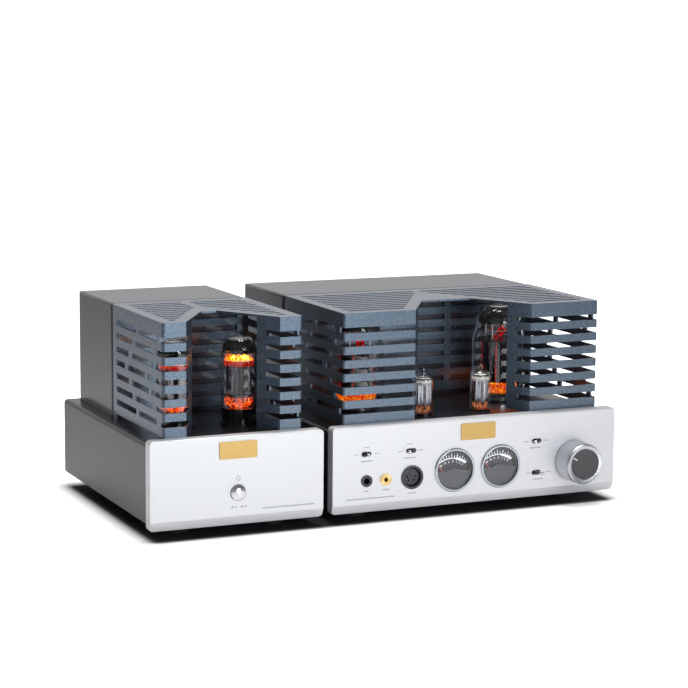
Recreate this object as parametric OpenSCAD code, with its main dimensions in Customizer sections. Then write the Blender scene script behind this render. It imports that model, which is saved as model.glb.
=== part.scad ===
// Two-box valve headphone amplifier: a power-supply unit on the left and an amplifier unit
// on the right, each with valves under a slotted lift-off cage and transformers under a cover.
// X runs to the right, Y to the back and Z up. The origin is on the floor, at the middle of
// the whole set's footprint.

/* [Units] */
// Width of the power-supply unit's front panel
psu_w = 180; // [178:0.5:186]
// Width of the amplifier unit's front panel
amp_w = 322; // [318:0.5:328]
// Gap between the two units
unit_gap = 10; // [6:1:30]
// Depth from the front panel's face to the back of the chassis
case_depth = 286; // [282:1:292]

/* [Front panels] */
// Height of the front panels
panel_h = 88; // [86:0.5:92]
// Thickness of the front panels
panel_t = 12.5; // [11:0.5:13]
// Clearance from the floor to the front panels
panel_clear = 10; // [8:0.5:11]
// Height of the sloping band along the foot of each panel
band_h = 9; // [6:0.5:11]
// Depth of that slope
band_slope = 3.5; // [2:0.5:5]

/* [Chassis and covers] */
// Sheet thickness of the chassis, covers and cages
sheet_t = 2; // [1.5:0.1:2.2]
// Height of the chassis box
chassis_h = 78; // [77:0.5:80]
// How far the chassis sides stand in from the panel's ends
side_inset = 2.6; // [2:0.1:4]
// Rounding of the chassis' long upper edges
edge_r = 4; // [3:0.5:5]
// Height of the covers and cages above the deck
cover_h = 117; // [116:0.5:120]
// Rounding of the covers' and cages' upright corners
corner_r = 3; // [2.5:0.5:4]
// Distance from the panel face to the front of the cages
cage_front = 12.5; // [12.5:0.5:14]
// Distance from the panel face to the back of the cages
cage_back = 165; // [164:0.5:166]
// Distance from the panel face to the back of the covers
cover_back = 278.5; // [277:0.5:280]
// Gap between a cage and the cover behind it
cage_gap = 1.5; // [1:0.1:2]

/* [Cage slots] */
// Spacing of the slots in the cage walls
wall_pitch = 13.55; // [13.3:0.05:13.6]
// Height of one slot in the cage walls
slot_h = 5.7; // [4:0.1:6]
// Spacing of the slots in the cage top
top_pitch = 13; // [12.5:0.1:13]
// Width of the ribs between slots
rib_w = 7.8; // [6:0.1:9]

/* [Controls] */
// Diameter of the volume knob
knob_d = 43; // [40:0.5:44]
// How far the volume knob stands out of the panel
knob_reach = 25; // [22:0.5:27]
// Outer diameter of the meter bezels
bezel_d = 45; // [43:0.5:46]
// Diameter of the power button
button_d = 15.6; // [14:0.1:16]
// Travel of the power button
button_travel = 3; // [2:0.5:3]

/* [Valves] */
// Glass diameter of the power-supply valves
psu_valve_d = 35.8; // [32:0.2:36]
// Largest glass diameter of the output valves
out_valve_d = 57; // [52:0.5:58]
// Glass diameter of the small signal valves
sig_valve_d = 21.6; // [20:0.2:22]

/* [Hidden] */
$fn = 64;
over = 1;

// Heights above the floor
panel_top = panel_clear + panel_h;
chassis_z = panel_clear + 4.6;
deck_z = chassis_z + chassis_h;
cage_z = deck_z + 5.4;
cover_top = deck_z + cover_h;
deck_under = deck_z - sheet_t;

// Places of the two units; the sockets at the back stand out by rear_reach
rear_reach = 11;
set_w = psu_w + unit_gap + amp_w;
front_y = -(case_depth + rear_reach - knob_reach) / 2;
psu_x = -set_w / 2;
amp_x = psu_x + psu_w + unit_gap;
psu_mid = psu_w / 2;
amp_mid = amp_w / 2;

// Insets of the cages and the sizes of their open windows, half-widths from the middle
psu_cage_in = 17.5;
amp_cage_in = 16;
psu_window = 48.5;
amp_window = 66;
psu_window_depth = 68;
amp_window_depth = 64;
window_slope = 0.6;
return_len = 28.5;
return_post = 10;
rows = 7;
top_rows = 10;
first_slot_z = cage_z + 10.2;
rib_step = 11.5;
top_margin = 12;
top_rib = 4.5;
top_first_y = 29.5;

// Valve places, from the unit's middle and from the panel face
psu_valve_dx = 34.3;
psu_valve_y = 86;
out_valve_dx = 83.5;
out_valve_y = 115;
sig_valve_dx = 33.3;
sig_valve_y = 60;

// Heights of the controls above the floor, and their distances from the panel's left end
button_z = 42;
button_hole_d = button_d + 0.8;
meter_dx = 26.2;
meter_z = 46;
knob_x = 273;
knob_z = 45.6;
knob_gap = 0.8;
shaft_d = 6;
jack_z = 42.3;
stereo_x = 36.8;
balanced_x = 57.7;
four_pin_x = 87;
toggle_w = 11;
toggle_h = 5;
toggle_throw = 12;
// Each toggle: distance along the panel, height above the floor, tilt at rest
toggles = [
    [36.5, 69.5, 0], [86, 69.4, -toggle_throw],
    [229.5, 69, -toggle_throw], [229.5, 35.9, toggle_throw]
];
badge_w = 39;
badge_h = 17;
badge_z = 84.4;

// ------------------------------------------------------------------ shared shapes

// A box from its lowest and highest corners
module box(low, high) {
    translate(low) cube(high - low);
}

// A rod that runs forwards from a point, along -Y
module rod(at, d, len) {
    translate(at) rotate([90, 0, 0]) cylinder(d = d, h = len);
}

// A rod that runs backwards from a point, along +Y
module back_rod(at, d, len) {
    translate(at) rotate([-90, 0, 0]) cylinder(d = d, h = len);
}

// A rectangle with its low corner at the origin and all four corners rounded
module round_rect(w, h, r) {
    translate([r, 0]) square([w - 2 * r, h]);
    translate([0, r]) square([w, h - 2 * r]);
    for (x = [r, w - r])
        for (y = [r, h - r])
            translate([x, y]) circle(r);
}

// A rectangle whose two upper corners are rounded
module round_top(w, h, r) {
    square([w, h - r]);
    translate([r, 0]) square([w - 2 * r, h]);
    for (x = [r, w - r]) translate([x, h - r]) circle(r);
}

// An upright outline in X and Z, run from one Y to another
module along_y(y0, y1) {
    translate([0, y1, 0]) rotate([90, 0, 0]) linear_extrude(y1 - y0) children();
}

// An outline in Y and Z, run from one X to another
module along_x(x0, x1) {
    translate([x0, 0, 0])
        rotate([90, 0, 90]) linear_extrude(x1 - x0) children();
}

// An outline in plan, run from one height to another
module up(z0, z1) {
    translate([0, 0, z0]) linear_extrude(z1 - z0) children();
}

// The same thing at two places, either side of the middle
module pair(mid, dx) {
    for (s = [-1, 1]) translate([mid + s * dx, 0, 0]) children();
}

module in_psu() {
    translate([psu_x, front_y, 0]) children();
}

module in_amp() {
    translate([amp_x, front_y, 0]) children();
}

// ------------------------------------------------------------------ chassis and covers

lip_w = 8;
bottom_t = 1.5;
flange_w = 12;
pin_post_w = 10;
tongue_w = 5;
tongue_fit = 0.4;
leg_front_y = 22;
leg_back_y = 153;

// Cross-section of a chassis: a channel open below, with lips for the bottom plate
module chassis_section(w) {
    inner = w - 2 * sheet_t;
    difference() {
        round_top(w, chassis_h, edge_r);
        translate([sheet_t, -over]) round_top(inner, chassis_h - sheet_t + over, edge_r - sheet_t);
    }
    for (x = [sheet_t, w - sheet_t - lip_w])
        translate([x, bottom_t]) square([lip_w, bottom_t]);
}

// Centres of the four locating tongues under a cage: both sides, front and back
module at_tongues(w, inset) {
    for (x = [inset, w - inset - sheet_t])
        for (y = [leg_front_y, leg_back_y])
            translate([x, y, 0]) children();
}

module chassis(w, inset) {
    chassis_w = w - 2 * side_inset;
    difference() {
        union() {
            translate([side_inset, 0, chassis_z])
                along_y(panel_t, case_depth) chassis_section(chassis_w);
            for (x = [side_inset + sheet_t, w - side_inset - sheet_t - flange_w])
                box([x, panel_t, chassis_z + 12], [x + flange_w, panel_t + sheet_t, deck_under]);
        }
        at_tongues(w, inset)
            translate([-tongue_fit / 2, (pin_post_w - tongue_w - tongue_fit) / 2, deck_under - over])
                cube([sheet_t + tongue_fit, tongue_w + tongue_fit, sheet_t + 2 * over]);
        children();
    }
}

module bottom_plate(w) {
    x0 = side_inset + sheet_t + 0.2;
    vent_w = 4;
    difference() {
        box([x0, panel_t + 0.5, chassis_z], [w - x0, case_depth - 0.5, chassis_z + bottom_t]);
        for (i = [0:9])
            translate([w / 2 - 40, 90 + i * 12, chassis_z - over])
                cube([80, vent_w, bottom_t + 2 * over]);
    }
}

// The front panel's shape from the side: rounded top edge and a slope along the foot
module panel_side() {
    r = 2;
    difference() {
        union() {
            translate([0, band_h]) square([panel_t, panel_h - band_h - r]);
            translate([r, 0]) square([panel_t - r, panel_h]);
            translate([r, panel_h - r]) circle(r);
            polygon([[0, band_h], [band_slope, 0], [panel_t, 0], [panel_t, band_h]]);
        }
        polygon([[-over, -over], [-over, band_h], [0, band_h], [band_slope, 0], [band_slope, -over]]);
    }
}

// Panel blank, with its four corners rounded
module panel_blank(w) {
    translate([0, 0, panel_clear]) intersection() {
        along_x(0, w) panel_side();
        along_y(0, panel_t) round_rect(w, panel_h, 4);
    }
}

badge_depth = 0.6;
badge_out = 1.2;

// The nameplate's outline, run from one Y to another
module badge_block(mid, y0, y1) {
    translate([mid - badge_w / 2, 0, badge_z - badge_h / 2])
        along_y(y0, y1) round_rect(badge_w, badge_h, 1.5);
}

// A box with rounded upright corners and rounded top edges
module round_box(w, d, h, r) {
    intersection() {
        linear_extrude(h) round_rect(w, d, r);
        along_y(0, d) round_top(w, h, r);
        along_x(0, w) round_top(d, h, r);
    }
}

module transformer_cover(w, inset) {
    cw = w - 2 * inset;
    cd = cover_back - cage_back - cage_gap;
    translate([inset, cage_back + cage_gap, deck_z])
        difference() {
            round_box(cw, cd, cover_h, corner_r);
            translate([sheet_t, sheet_t, -over])
                cube([cw - 2 * sheet_t, cd - 2 * sheet_t, cover_h - sheet_t + over]);
        }
}

// ------------------------------------------------------------------ cages

// Plan of one half of a cage's walls, left of the middle. x runs from the cage's left side.
module half_walls(half_w, window) {
    depth = cage_back - cage_front;
    column = half_w - window;
    square([sheet_t, depth]);
    square([column, sheet_t]);
    translate([0, depth - sheet_t]) square([half_w, sheet_t]);
    return_strip(column, 0, return_len, 0);
}

// Plan of a strip of the slanting return that starts at the column's inner corner
module return_strip(column, from, to, spare) {
    len = norm([window_slope, 1]);
    dir = [window_slope, 1] / len;
    across = [-1, window_slope] / len;
    start = [column, 0];
    polygon([
        start + dir * from - across * spare,
        start + dir * to - across * spare,
        start + dir * to + across * (sheet_t + spare),
        start + dir * from + across * (sheet_t + spare)
    ]);
}

// Plan of what one row of slots takes out of the left half. lift is 0 for the top and
// bottom rows and 3 for the middle one, which slants the ribs into a chevron.
module half_slots(half_w, window, lift, rear_slots) {
    depth = cage_back - cage_front;
    column = half_w - window;
    rib_a = 13 + lift * rib_step;
    rib_b = 74 + lift * rib_step;
    side_end = depth - 13.5;
    cut = sheet_t + 2 * over;
    translate([-over, -over]) square([cut, rib_a - rib_w / 2 + over]);
    translate([-over, rib_a + rib_w / 2]) square([cut, rib_b - rib_a - rib_w]);
    translate([-over, rib_b + rib_w / 2]) square([cut, side_end - rib_b - rib_w / 2]);
    translate([-over, -over]) square([column + over, cut]);
    return_strip(column, -over, return_len - return_post, over);
    for (slot = rear_slots)
        translate([slot[0], depth - sheet_t - over]) square([slot[1] - slot[0], cut]);
}

// Both halves of a plan, mirrored about the cage's middle
module both_halves(half_w) {
    children();
    translate([2 * half_w, 0]) mirror([1, 0]) children();
}

// Plan of the cage top, with the trapezoid window cut out of its front edge
module top_plan(half_w, window, window_depth) {
    depth = cage_back - cage_front;
    back_half = window - window_depth * window_slope;
    difference() {
        round_rect(2 * half_w, depth, corner_r);
        polygon([
            [half_w - window - window_slope * over, -over],
            [half_w - back_half, window_depth],
            [half_w + back_half, window_depth],
            [half_w + window + window_slope * over, -over]
        ]);
    }
}

// Slots in the left half of the top; they stop 15 mm short of the window's edge
module half_top_slots(half_w, window) {
    margin = 15;
    half_slot = slot_h / 2;
    for (i = [0:top_rows - 1]) {
        y = top_first_y - cage_front + i * top_pitch;
        limit = half_w - top_rib;
        near = min(limit, half_w - window - margin + window_slope * (y - half_slot));
        far = min(limit, half_w - window - margin + window_slope * (y + half_slot));
        polygon([
            [top_margin, y - half_slot], [near, y - half_slot],
            [far, y + half_slot], [top_margin, y + half_slot]
        ]);
    }
}

module cage(w, inset, window, window_depth, rear_slots) {
    half_w = w / 2 - inset;
    wall_top = cover_top - sheet_t;
    translate([inset, cage_front, 0]) {
        difference() {
            intersection() {
                up(cage_z, wall_top) both_halves(half_w) half_walls(half_w, window);
                up(cage_z, wall_top)
                    round_rect(2 * half_w, cage_back - cage_front, corner_r);
            }
            for (row = [0:rows - 1]) {
                lift = 3 - abs(row - 3);
                z = first_slot_z + row * wall_pitch;
                up(z, z + slot_h)
                    both_halves(half_w) half_slots(half_w, window, lift, rear_slots);
            }
        }
        up(wall_top, cover_top) difference() {
            top_plan(half_w, window, window_depth);
            both_halves(half_w) half_top_slots(half_w, window);
        }
    }
    at_tongues(w, inset) {
        box([0, 0, deck_z], [sheet_t, pin_post_w, cage_z]);
        translate([0, (pin_post_w - tongue_w) / 2, deck_z - 3.5])
            cube([sheet_t, tongue_w, 3.5]);
    }
}

// ------------------------------------------------------------------ valves

pin_len = 9;

// Pins of a valve base, on a circle, hanging below a height
module pins(count, slots, ring_d, d, z, len) {
    for (i = [0:count - 1])
        rotate([0, 0, 360 * i / slots + 180 / slots])
            translate([ring_d / 2, 0, z - len]) cylinder(d = d, h = len);
}

octal_ring = 17.5;
octal_pin = 2.4;
socket_d = 30;
socket_flange_d = 38;
socket_flange_h = 2.5;

// A ceramic socket: flange on the deck, body through the deck's hole
module octal_socket() {
    difference() {
        union() {
            translate([0, 0, deck_z]) cylinder(d = socket_flange_d, h = socket_flange_h);
            translate([0, 0, deck_z - 14]) cylinder(d = socket_d, h = 14);
        }
        pins(8, 8, octal_ring, octal_pin + 0.2, deck_z + socket_flange_h + over, pin_len + 3);
    }
}

// Outline of half a valve: straight sides up to a rounded shoulder
module dome_half(r, h, shoulder) {
    square([r, h - shoulder]);
    square([r - shoulder, h]);
    intersection() {
        translate([r - shoulder, h - shoulder]) circle(shoulder);
        square([r, h]);
    }
}

glass_t = 1.1;
psu_base_h = 13.5;
psu_glass_h = 73.5;
psu_base_z = deck_z + socket_flange_h;

module psu_base() {
    translate([0, 0, psu_base_z]) cylinder(d = 34.8, h = psu_base_h);
    pins(8, 8, octal_ring, octal_pin, psu_base_z, pin_len);
}

module psu_glass() {
    r = psu_valve_d / 2;
    translate([0, 0, psu_base_z + psu_base_h])
        rotate_extrude() difference() {
            dome_half(r, psu_glass_h, 13);
            translate([0, glass_t]) dome_half(r - glass_t, psu_glass_h - 2 * glass_t, 12);
        }
}

// Anode box between two mica discs, on a pinch of support rods
module psu_anode() {
    z = psu_base_z + psu_base_h + 14;
    for (s = [-1, 1])
        translate([s * 6.5, 0, 0]) up(z, z + 34) translate([-5.5, -7]) round_rect(11, 14, 3);
    for (zz = [z - 1.2, z + 34])
        translate([0, 0, zz]) cylinder(d = 29, h = 1.2);
    for (x = [-7, 7])
        translate([x, 0, psu_base_z + psu_base_h + glass_t]) cylinder(d = 1.6, h = 14 - glass_t - 1.2);
}

out_base_h = 6;
out_base_z = deck_z + socket_flange_h;
out_bulb_h = 57;
out_neck_z = 73;
out_dome_h = 20;
out_glass_h = 95;
out_neck_r = 24;
out_foot_r = 22;

module out_base() {
    translate([0, 0, out_base_z]) cylinder(d = 46, h = out_base_h);
    pins(8, 8, octal_ring, octal_pin, out_base_z, pin_len);
}

// Half outline of an output valve's glass, drawn in by a skin all round
module out_half(skin) {
    r = out_valve_d / 2 - skin;
    neck = out_neck_r - skin;
    polygon([
        [0, skin], [out_foot_r - skin, skin], [r, 9], [r, out_bulb_h],
        [neck, out_neck_z], [neck, out_glass_h - out_dome_h], [0, out_glass_h - out_dome_h]
    ]);
    translate([0, out_glass_h - out_dome_h - over])
        dome_half(neck, out_dome_h + over - skin, 18 - skin);
}

module out_glass() {
    translate([0, 0, out_base_z + out_base_h])
        rotate_extrude() difference() {
            out_half(0);
            out_half(glass_t);
        }
}

module out_anode() {
    z = out_base_z + out_base_h + 14.5;
    up(z, z + 42) translate([-16, -9]) round_rect(32, 18, 6);
    for (zz = [z - 1.5, z + 42])
        translate([0, 0, zz]) cylinder(d = 43, h = 1.5);
    for (x = [-10, 10])
        translate([x, 0, out_base_z + out_base_h + glass_t]) cylinder(d = 2, h = 11.9);
}

sig_socket_h = 1;
sig_glass_h = 43;
sig_ring = 11.9;
sig_pin = 1;
sig_z = deck_z + sig_socket_h;

module sig_socket() {
    difference() {
        union() {
            translate([0, 0, deck_z]) cylinder(d = 25, h = sig_socket_h);
            translate([0, 0, deck_z - 10]) cylinder(d = 19, h = 10);
        }
        pins(9, 10, sig_ring, sig_pin + 0.2, deck_z + sig_socket_h + over, 8);
    }
}

// The small valve's glass carries its own pins, and ends in a drawn-off tip
module sig_glass() {
    r = sig_valve_d / 2;
    tip_h = 5;
    translate([0, 0, sig_z]) {
        rotate_extrude() {
            difference() {
                dome_half(r, sig_glass_h, 8);
                translate([0, 2]) dome_half(r - 1, sig_glass_h - 3, 7);
            }
            polygon([[0, sig_glass_h - over], [2.2, sig_glass_h - 0.5], [1, sig_glass_h + tip_h],
                [0, sig_glass_h + tip_h]]);
        }
        pins(9, 10, sig_ring, sig_pin, 0, 6);
    }
}

module sig_anode() {
    z = sig_z + 11;
    for (x = [-4.6, 4.6])
        translate([x, 0, 0]) up(z, z + 21) translate([-3.6, -4]) round_rect(7.2, 8, 2);
    for (zz = [z - 0.8, z + 21])
        translate([0, 0, zz]) cylinder(d = 18, h = 0.8);
    for (x = [-4.6, 4.6])
        translate([x, 0, sig_z + 2]) cylinder(d = 1, h = 8.2);
}

// ------------------------------------------------------------------ transformers and boards

// A stack of laminations on the deck, with a winding that bulges out by coil in front and
// behind, and fills the stack's two windows apart from a slit above and below
module core_transformer(mid_x, mid_y, w, d, h, coil) {
    leg = w / 6;
    slit = 1;
    translate([mid_x - w / 2, mid_y - d / 2, deck_z]) {
        difference() {
            cube([w, d, h]);
            for (x = [leg, w - 2 * leg])
                for (z = [leg, h - leg - slit])
                    translate([x, -over, z]) cube([leg, d + 2 * over, slit]);
        }
        for (y = [-coil, d])
            translate([leg, y, leg + slit]) cube([w - 2 * leg, coil, h - 2 * leg - 2 * slit]);
    }
}

board_z = chassis_z + 14;
board_t = 1.6;

module board(x0, x1, y0, y1) {
    box([x0, y0, board_z], [x1, y1, board_z + board_t]);
    for (x = [x0 + 8, x1 - 8])
        for (y = [y0 + 8, y1 - 8])
            translate([x, y, chassis_z + bottom_t])
                cylinder(d = 6, h = board_z - chassis_z - bottom_t);
}

module can(x, y, d, h) {
    translate([x, y, board_z + board_t]) cylinder(d = d, h = h);
}

foot_d = 30;
foot_lip = 3;

// Feet: a turned body with a rubber pad let into its underside
module feet(w) {
    for (x = [40, w - 40])
        for (y = [40, case_depth - 36])
            translate([x, y, 0]) {
                cylinder(d = foot_d - 6, h = foot_lip);
                translate([0, 0, foot_lip]) cylinder(d = foot_d, h = chassis_z - foot_lip);
            }
}

screw_d = 6;

// Screws: four in the rear panel's corners, four in the bottom plate's edges
module screws(w) {
    for (x = [12, w - 12])
        for (z = [chassis_z + 10, deck_under - 10])
            translate([x, case_depth, z]) rotate([-90, 0, 0]) difference() {
                cylinder(d = screw_d, h = 2);
                translate([0, 0, 1]) cylinder(d = 3.2, h = 2, $fn = 6);
            }
    for (x = [side_inset + sheet_t + 4, w - side_inset - sheet_t - 4])
        for (y = [70, case_depth - 80])
            translate([x, y, chassis_z - 1.5]) cylinder(d = 5, h = 1.5);
}

rear_t = 2;

// Rear panel, let into the end of the chassis; its children are its cut-outs
module rear_panel(w) {
    fit = 0.1;
    x0 = side_inset + sheet_t + fit;
    z0 = chassis_z + 2 * bottom_t + 2 * fit;
    difference() {
        translate([x0, 0, z0]) along_y(case_depth - rear_t, case_depth)
            round_top(w - 2 * x0, deck_under - fit - z0, edge_r - sheet_t + fit);
        children();
    }
}

// ------------------------------------------------------------------ power-supply unit

inlet_x = 45;
inlet_z = 56;
link_x = 125;
amp_link_x = 60;
link_z = 56;
link_d = 22;

// Holes in the decks for the transformers' leads; on the amplifier they are between its transformers
wire_hole_d = 14;
wire_y = 222;
amp_wire_dx = 26;

module psu_chassis() {
    color("#5b6270") in_psu() chassis(psu_w, psu_cage_in) {
        pair(psu_mid, psu_valve_dx)
            translate([0, psu_valve_y, deck_under - over]) cylinder(d = socket_d + 0.6, h = 4);
        for (x = [60, 120])
            translate([x, wire_y, deck_under - over]) cylinder(d = wire_hole_d, h = 4);
    }
}

module psu_bottom_plate() {
    color("#3c4149") in_psu() bottom_plate(psu_w);
}

module psu_rear_panel() {
    color("#4a505c") in_psu() rear_panel(psu_w) {
        box([inlet_x - 14.2, case_depth - rear_t - over, inlet_z - 10.2],
            [inlet_x + 14.2, case_depth + over, inlet_z + 10.2]);
        back_rod([link_x, case_depth - rear_t - over, link_z], link_d - 4, 5);
    }
}

module psu_front_panel() {
    color("#dcdde0") in_psu() difference() {
        panel_blank(psu_w);
        badge_block(psu_mid, -over, badge_depth);
        back_rod([psu_mid, -over, button_z], button_hole_d, panel_t + 2 * over);
    }
}

module psu_badge() {
    color("#c9a44a") in_psu() badge_block(psu_mid, -badge_out, badge_depth);
}

module psu_transformer_cover() {
    color("#5b6270") in_psu() transformer_cover(psu_w, psu_cage_in);
}

module psu_mains_transformer() {
    color("#3a3d42") in_psu() core_transformer(65, 222, 84, 50, 98, 20);
}

module psu_choke() {
    color("#3a3d42") in_psu() core_transformer(134, 222, 42, 34, 56, 12);
}

module psu_board() {
    color("#2f6b45") in_psu() board(20, psu_w - 20, 110, 262);
}

module psu_capacitors() {
    color("#30343c") in_psu() {
        for (x = [55, 125])
            for (y = [135, 180])
                can(x, y, 30, 50);
        for (x = [45, 72, 99, 126]) can(x, 238, 18, 32);
    }
}

stem_d = 8;
button_out = 4;
button_len = 10;

// Switch body behind the panel, with a bore for the button's stem
module psu_switch() {
    color("#25272b") in_psu() difference() {
        back_rod([psu_mid, panel_t, button_z], 20, 18);
        back_rod([psu_mid, panel_t - over, button_z], stem_d + 0.4, 12 + over);
    }
}

module psu_button() {
    color("#d8d9dc") in_psu() {
        translate([psu_mid, -button_out, button_z]) rotate([-90, 0, 0]) rotate_extrude()
            intersection() {
                translate([0, 14]) circle(14);
                square([button_d / 2, button_len]);
            }
        back_rod([psu_mid, button_len - button_out, button_z], stem_d, 13);
    }
}

// Mains inlet: a shell with three blades standing in its recess
module psu_inlet() {
    color("#1e1f22") in_psu() {
        y = case_depth;
        difference() {
            union() {
                box([inlet_x - 25, y, inlet_z - 12], [inlet_x + 25, y + 2.5, inlet_z + 12]);
                box([inlet_x - 14, y - 22, inlet_z - 10], [inlet_x + 14, y + over, inlet_z + 10]);
            }
            box([inlet_x - 12, y - 17, inlet_z - 8], [inlet_x + 12, y + 3 + over, inlet_z + 8]);
        }
        for (pin = [[-7, -2], [0, 2], [7, -2]])
            box([inlet_x + pin[0] - 1, y - 17 - over, inlet_z + pin[1] - 2],
                [inlet_x + pin[0] + 1, y - 3, inlet_z + pin[1] + 2]);
    }
}

// Round multi-way socket that carries the supplies between the two units
module link_socket(x) {
    y = case_depth;
    difference() {
        union() {
            back_rod([x, y, link_z], link_d + 6, 2.5);
            back_rod([x, y - 12, link_z], link_d - 4.4, 13);
            back_rod([x, y, link_z], link_d, rear_reach);
        }
        back_rod([x, y - 2, link_z], link_d - 5, rear_reach + 2 + over);
    }
    for (i = [0:4])
        translate([x, 0, link_z]) rotate([0, i * 72, 0])
            back_rod([0, y - 2 - over, 5], 2, rear_reach - 2);
}

module psu_link_socket() {
    color("#8f9399") in_psu() link_socket(link_x);
}

module psu_feet() {
    color("#1c1d20") in_psu() feet(psu_w);
}

module psu_screws() {
    color("#6b6e73") in_psu() screws(psu_w);
}

module psu_valve_sockets() {
    color("#e8e4d8") in_psu() pair(psu_mid, psu_valve_dx) translate([0, psu_valve_y, 0]) octal_socket();
}

module psu_valve_bases() {
    color("#151515") in_psu() pair(psu_mid, psu_valve_dx) translate([0, psu_valve_y, 0]) psu_base();
}

module psu_valve_anodes() {
    color("#55585c") in_psu() pair(psu_mid, psu_valve_dx) translate([0, psu_valve_y, 0]) psu_anode();
}

module psu_valve_glass() {
    color("#c8dce8", 0.3) in_psu() pair(psu_mid, psu_valve_dx)
        translate([0, psu_valve_y, 0]) psu_glass();
}

// Rear slots are given as pairs of distances from the cage's left side
module psu_cage() {
    half_w = psu_w / 2 - psu_cage_in;
    color("#77869c") in_psu()
        cage(psu_w, psu_cage_in, psu_window, psu_window_depth, [[10, half_w - rib_w / 2]]);
}

// ------------------------------------------------------------------ amplifier unit

meter_body_d = 40;
meter_body_len = 20;
bezel_out = 2;
bezel_in = 3;
bezel_lip = 2.4;
case_y = 3;
dial_t = 1;
dial_y = 7;
mask_y = 2.2;
mask_t = 1;
lens_t = 1.2;
arbor_d = 1.2;
needle_y = 4.4;
needle_pivot_drop = 15;
needle_len = 26.5;
needle_tilt = 39;

module amp_chassis() {
    color("#5b6270") in_amp() chassis(amp_w, amp_cage_in) {
        pair(amp_mid, out_valve_dx)
            translate([0, out_valve_y, deck_under - over]) cylinder(d = socket_d + 0.6, h = 4);
        pair(amp_mid, sig_valve_dx)
            translate([0, sig_valve_y, deck_under - over]) cylinder(d = 19.6, h = 4);
        pair(amp_mid, amp_wire_dx)
            translate([0, wire_y, deck_under - over]) cylinder(d = wire_hole_d, h = 4);
    }
}

module amp_bottom_plate() {
    color("#3c4149") in_amp() bottom_plate(amp_w);
}

input_xs = [190, 215, 250, 275];
input_z = 56;
input_hole = 9;

module amp_rear_panel() {
    color("#4a505c") in_amp() rear_panel(amp_w) {
        for (x = input_xs) back_rod([x, case_depth - rear_t - over, input_z], input_hole, 5);
        back_rod([amp_link_x, case_depth - rear_t - over, link_z], link_d - 4, 5);
    }
}

jack_hole = 11.4;
four_pin_hole = 22;

module toggle_slot(x, z) {
    r = toggle_h / 2;
    translate([x - toggle_w / 2, 0, z - r]) along_y(-over, panel_t + over) {
        translate([r, 0]) square([toggle_w - toggle_h, toggle_h]);
        for (cx = [r, toggle_w - r]) translate([cx, r]) circle(r);
    }
}

module amp_front_panel() {
    color("#dcdde0") in_amp() difference() {
        panel_blank(amp_w);
        badge_block(amp_mid, -over, badge_depth);
        pair(amp_mid, meter_dx) {
            back_rod([0, -over, meter_z], meter_body_d + 0.4, panel_t + 2 * over);
            back_rod([0, -over, meter_z], bezel_d - 1.6, bezel_in + over);
        }
        back_rod([knob_x, -over, knob_z], 9.4, panel_t + 2 * over);
        back_rod([stereo_x, -over, jack_z], jack_hole, panel_t + 2 * over);
        back_rod([balanced_x, -over, jack_z], jack_hole, panel_t + 2 * over);
        back_rod([four_pin_x, -over, jack_z], four_pin_hole, panel_t + 2 * over);
        for (t = toggles) toggle_slot(t[0], t[1]);
    }
}

module amp_badge() {
    color("#c9a44a") in_amp() badge_block(amp_mid, -badge_out, badge_depth);
}

module amp_transformer_cover() {
    color("#5b6270") in_amp() transformer_cover(amp_w, amp_cage_in);
}

module output_transformers() {
    color("#3a3d42") in_amp() {
        core_transformer(76, 222, 84, 50, 90, 20);
        core_transformer(amp_w - 76, 222, 84, 50, 90, 20);
    }
}

module amp_board() {
    color("#2f6b45") in_amp() board(24, amp_w - 24, 90, 262);
}

module amp_capacitors() {
    color("#30343c") in_amp() {
        for (x = [amp_mid - 36, amp_mid, amp_mid + 36])
            for (y = [150, 190])
                can(x, y, 30, 50);
        for (s = [-1, 1])
            for (y = [180, 215])
                can(amp_mid + s * 95, y, 22, 40);
    }
}

module amp_feet() {
    color("#1c1d20") in_amp() feet(amp_w);
}

module amp_screws() {
    color("#6b6e73") in_amp() screws(amp_w);
}

module output_valve_sockets() {
    color("#e8e4d8") in_amp() pair(amp_mid, out_valve_dx) translate([0, out_valve_y, 0]) octal_socket();
}

module output_valve_bases() {
    color("#b9bcc0") in_amp() pair(amp_mid, out_valve_dx) translate([0, out_valve_y, 0]) out_base();
}

module output_valve_anodes() {
    color("#55585c") in_amp() pair(amp_mid, out_valve_dx) translate([0, out_valve_y, 0]) out_anode();
}

module output_valve_glass() {
    color("#c8dce8", 0.3) in_amp() pair(amp_mid, out_valve_dx)
        translate([0, out_valve_y, 0]) out_glass();
}

module signal_valve_sockets() {
    color("#e8e4d8") in_amp() pair(amp_mid, sig_valve_dx) translate([0, sig_valve_y, 0]) sig_socket();
}

module signal_valve_anodes() {
    color("#7d8084") in_amp() pair(amp_mid, sig_valve_dx) translate([0, sig_valve_y, 0]) sig_anode();
}

module signal_valve_glass() {
    color("#c8dce8", 0.3) in_amp() pair(amp_mid, sig_valve_dx)
        translate([0, sig_valve_y, 0]) sig_glass();
}

// ------------------------------------------------------------------ meters

// Cup behind the panel that holds the movement
module meter_cases() {
    color("#202226") in_amp() pair(amp_mid, meter_dx) difference() {
        back_rod([0, case_y, meter_z], meter_body_d, meter_body_len);
        back_rod([0, case_y - over, meter_z], meter_body_d - 3, meter_body_len - 1.5 + over);
    }
}

// Turned ring that stands on the panel and clamps the lens
module meter_bezels() {
    color("#b7babf") in_amp() pair(amp_mid, meter_dx) translate([0, -bezel_out, meter_z])
        rotate([-90, 0, 0]) difference() {
            union() {
                cylinder(d1 = bezel_d - 1.6, d2 = bezel_d, h = 0.8);
                translate([0, 0, 0.8]) cylinder(d = bezel_d, h = bezel_out - 0.8);
                cylinder(d = bezel_d - 2, h = bezel_out + bezel_in);
            }
            translate([0, 0, -over]) cylinder(d = bezel_d - 2 * bezel_lip, h = 10);
        }
}

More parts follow.
